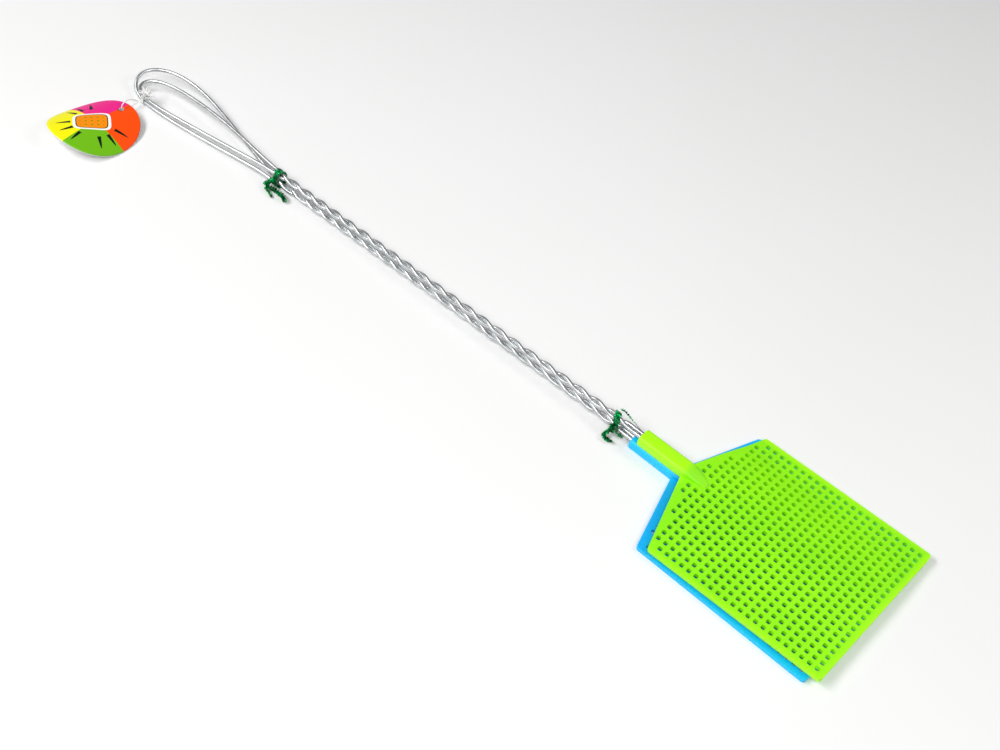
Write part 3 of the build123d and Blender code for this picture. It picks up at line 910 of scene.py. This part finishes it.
cardBack = threadMaterial("cardBack", {"colour": (0.85, 0.85, 0.83), "shade": (0.76, 0.76, 0.74),
                                       "fibreScale": 700.0, "roughness": 0.7, "sheen": 0.0})


def makeCard(shape, body):
    # rings that run from the hole's edge to the card's edge, then bent onto a cylinder:
    # across becomes R sin(y / R), height falls by R (1 - cos(y / R))
    share = np.linspace(0, 1, shape["rings"])[:, None]
    angle = np.linspace(0, 2 * np.pi, shape["around"], endpoint=False)[None, :]
    radius = shape["diameter"] / 2
    hole, holeRadius = shape["hole"], shape["holeRadius"]
    flatX = (1 - share) * (hole[0] + holeRadius * np.cos(angle)) + share * radius * np.cos(angle)
    flatY = (1 - share) * (hole[1] + holeRadius * np.sin(angle)) + share * radius * np.sin(angle)
    curl = shape["curlRadius"]
    local = np.stack([flatX, curl * np.sin(flatY / curl), -curl * (1 - np.cos(flatY / curl))], axis=-1)
    turn = (Matrix.Translation(shape["centre"]) @ Matrix.Rotation(math.radians(shape["heading"]), 4, "Z")
            @ Matrix.Rotation(math.radians(shape["pitch"]), 4, "Y"))
    points = placed(np.array(turn), local.reshape(-1, 3)) * mm
    points[:, 2] = np.maximum(points[:, 2], (shape["thickness"] + 0.05) * mm)
    faces = gridFaces(shape["rings"], shape["around"], True)[:, ::-1]
    uv = np.stack([flatX, flatY], axis=-1).reshape(-1, 2) / shape["diameter"] + 0.5
    piece = makePiece("cardTag", points, faces.tolist(), cardMaterial(cardPrint), body,
                      uv[faces.ravel()], recalculate=False)
    if sum(face.normal.z for face in piece.data.polygons) < 0:
        piece.data.flip_normals()
    piece.data.materials.append(cardBack)
    smoothShade(piece)
    wall = piece.modifiers.new("wall", "SOLIDIFY")
    wall.thickness = shape["thickness"] * mm
    wall.offset = -1.0
    wall.material_offset = 1
    wall.material_offset_rim = 1
    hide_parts("tag_card")
    return piece


card = makeCard(cardShape, "card")
thread = makeThread("tagThread", threadPoints, threadShape, "thread")
makeHitch(threadShape, knotShape, "lower_swatter")
print("tag made")


def foldNoise(rows, columns, rowStep, columnStep, seed):
    # random heights on a coarse grid, joined by straight folds
    random = np.random.default_rng(seed)
    coarse = random.uniform(-1, 1, (rows // rowStep + 2, columns // columnStep + 2))
    u = np.arange(rows) / rowStep
    v = np.arange(columns) / columnStep
    i, j = u.astype(int), v.astype(int)
    a, b = (u - i)[:, None], (v - j)[None, :]
    return ((1 - a) * (1 - b) * coarse[np.ix_(i, j)] + a * (1 - b) * coarse[np.ix_(i + 1, j)]
            + (1 - a) * b * coarse[np.ix_(i, j + 1)] + a * b * coarse[np.ix_(i + 1, j + 1)])


def stripGrid(strip):
    # a ribbon carried along a smooth line: width across, turned by the twist, crumpled square to itself
    line = smoothRoute(strip["route"], strip.get("perSpan", 6))
    along = unit(np.gradient(line, axis=0))
    hint = np.asarray(strip["hint"], dtype=float)
    side = unit(hint - (along @ hint)[:, None] * along)
    lift = np.cross(along, side)
    share = np.linspace(0, 1, len(line))
    twist = strip.get("start", 0.0) + strip.get("turns", 0.0) * 2 * np.pi * share
    across = side * np.cos(twist)[:, None] + lift * np.sin(twist)[:, None]
    square = -side * np.sin(twist)[:, None] + lift * np.cos(twist)[:, None]
    v = np.linspace(-1, 1, strip.get("columns", 8))
    random = np.random.default_rng(strip["seed"])
    width = np.interp(share, np.linspace(0, 1, len(strip["widths"])), strip["widths"]) / 2
    ragged = 1 + strip.get("ragged", 0.18) * random.uniform(-1, 1, (len(line), 2))
    edge = np.where(v[None, :] < 0, ragged[:, :1], ragged[:, 1:])
    folds = foldNoise(len(line), len(v), 2, 2, strip["seed"] + 7) * strip.get("crumple", 0.3)
    grid = (line[:, None] + across[:, None] * (width[:, None] * v[None, :] * edge)[..., None]
            + square[:, None] * folds[..., None])
    grid[..., 2] = np.maximum(grid[..., 2], tieShape["lowest"])
    return grid


tieShape = {"foilWall": 0.1, "coreRadius": 0.16, "coreSides": 8, "bandRadius": 2.62, "bandTurns": 1.15,
            "bandStart": 2.0, "lowest": 0.12}


def makeTie(name, strips, cores, body, foilNode, coreNode):
    # all ribbons as one thin foil, each layer a quarter turn from the last, and the steel cores as another
    points, faces, first = [], [], 0
    for strip in strips:
        for quarter in range(strip.get("layers", 1)):
            turned = {**strip, "start": quarter * math.pi / 2, "seed": strip["seed"] + quarter}
            grid = stripGrid(turned) * mm
            points.append(grid.reshape(-1, 3))
            faces += (gridFaces(grid.shape[0], grid.shape[1], False) + first).tolist()
            first += grid.shape[0] * grid.shape[1]
    foil = makePiece(name + "Foil", np.concatenate(points), faces, greenFoil, body,
                     recalculate=False)
    wall = foil.modifiers.new("wall", "SOLIDIFY")
    wall.thickness = tieShape["foilWall"] * mm
    wall.offset = 0.0
    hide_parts(foilNode)
    radius, sides = tieShape["coreRadius"], tieShape["coreSides"]
    points, faces = joinedShells([roundTube(smoothRoute(core, 6), radius, sides, (0.1, 0.3, 1.0))
                                  for core in cores])
    wire = makePiece(name + "Core", points, faces, tieSteel, body)
    smoothShade(wire)
    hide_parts(coreNode)


def shaftCentre(start, end, x):
    # point on the straight line from start to end at this x
    return start + (end - start) * ((x - start[0]) / (end[0] - start[0]))


def bandRoute(x, drift, slope):
    # the foil's way round both shafts at this x
    low = shaftCentre(lowerStart, lowerEnd, x)
    high = shaftCentre(upperStart, upperEnd, x)
    return stadiumRoute(low, high, tieShape["bandRadius"], tieShape["bandTurns"], drift,
                        start=tieShape["bandStart"], slope=slope)


bladeTieX = lowerStart[0] - 3.0
loopTieX = loopRoot[0] + 4.9
bladeBand = bandRoute(bladeTieX, 1.6, 0.32)
loopBand = bandRoute(loopTieX, -1.2, -0.12)
hookTail = [(-96.6, -1.9, 2.8), (-97.3, -3.4, 2.2), (-97.6, -4.9, 1.9), (-96.4, -6.0, 1.7),
            (-94.2, -6.2, 1.6), (-92.2, -5.6, 1.6)]
leafTail = [(-96.4, -1.9, 3.4), (-94.9, -1.9, 4.3), (-93.0, -1.9, 4.5), (-91.0, -2.0, 4.3),
            (-89.2, -2.2, 4.0)]
highTail = [(-97.6, 6.1, 10.9), (-96.0, 6.3, 11.3), (-93.4, 5.6, 11.3), (-90.3, 4.4, 11.4),
            (-87.6, 3.6, 11.5)]
strayWire = [(-88.2, 3.8, 11.5), (-86.0, 3.0, 11.6), (-83.6, 2.3, 11.6), (-81.6, 1.9, 11.5)]
stem = [(-97.2, 0.2, 5.4), (-96.9, -0.8, 4.0), (-96.8, -1.7, 3.2), (-97.0, -2.6, 2.7)]
makeTie("bladeTie", [
    {"route": bladeBand, "hint": (1, 0, 0), "widths": (2.2, 3.2, 3.4, 3.0, 3.2, 2.2), "seed": 3,
     "crumple": 0.32},
    {"route": stem, "hint": (1, 0, 0), "widths": (2.8, 2.2, 2.0), "turns": 1.2,
     "seed": 11, "layers": 2, "crumple": 0.35},
    {"route": hookTail, "hint": (0, 0, 1), "widths": (1.8, 2.2, 2.3, 2.3, 2.0, 1.2), "turns": 1.1,
     "seed": 21, "layers": 2, "crumple": 0.3},
    {"route": leafTail, "hint": (0, 0.4, 1), "widths": (1.6, 3.4, 3.8, 3.0, 1.0), "turns": 0.35,
     "seed": 31, "crumple": 0.45},
    {"route": highTail, "hint": (0, 0, 1), "widths": (1.6, 1.4, 1.1, 0.7, 0.3), "turns": 3.5,
     "seed": 41, "crumple": 0.12},
], [hookTail + [(-91.4, -5.2, 1.6)], leafTail + [(-88.6, -2.3, 3.9)], strayWire],
    "blade_tie", "blade_tie_foil", "blade_tie_core")

longTail = [(-328.8, -3.4, 2.4), (-326.0, -3.2, 2.3), (-323.2, -2.7, 2.2), (-320.2, -2.6, 2.1),
            (-317.0, -3.0, 2.1), (-314.8, -4.0, 2.0), (-314.0, -5.0, 1.9)]
thinTail = [(-329.0, -4.2, 1.6), (-327.0, -5.2, 1.4), (-324.4, -6.0, 1.2), (-321.7, -7.0, 1.0)]
loopStem = [(-328.2, 0.2, 5.2), (-329.2, -1.2, 3.8), (-329.8, -2.6, 2.9), (-329.9, -4.2, 2.1)]
makeTie("loopTie", [
    {"route": loopBand, "hint": (1, 0, 0), "widths": (3.2, 4.0, 5.0, 4.6, 3.4, 2.6), "seed": 5,
     "crumple": 0.25},
    {"route": loopStem, "hint": (1, 0, 0), "widths": (3.4, 3.0, 3.4), "turns": 1.0,
     "seed": 15, "layers": 2, "crumple": 0.45},
    {"route": longTail, "hint": (0, 0, 1), "widths": (2.4, 2.9, 3.0, 3.0, 2.9, 2.4), "turns": 2.6,
     "seed": 25, "layers": 2, "crumple": 0.35},
    {"route": thinTail, "hint": (0, 0, 1), "widths": (2.4, 1.7, 1.5, 1.2), "turns": 0.6,
     "seed": 35, "layers": 2, "crumple": 0.2},
], [longTail + [(-313.8, -5.6, 1.9)], thinTail + [(-321.1, -7.4, 1.0)]],
    "loop_tie", "loop_tie_foil", "loop_tie_core")
print("ties made")
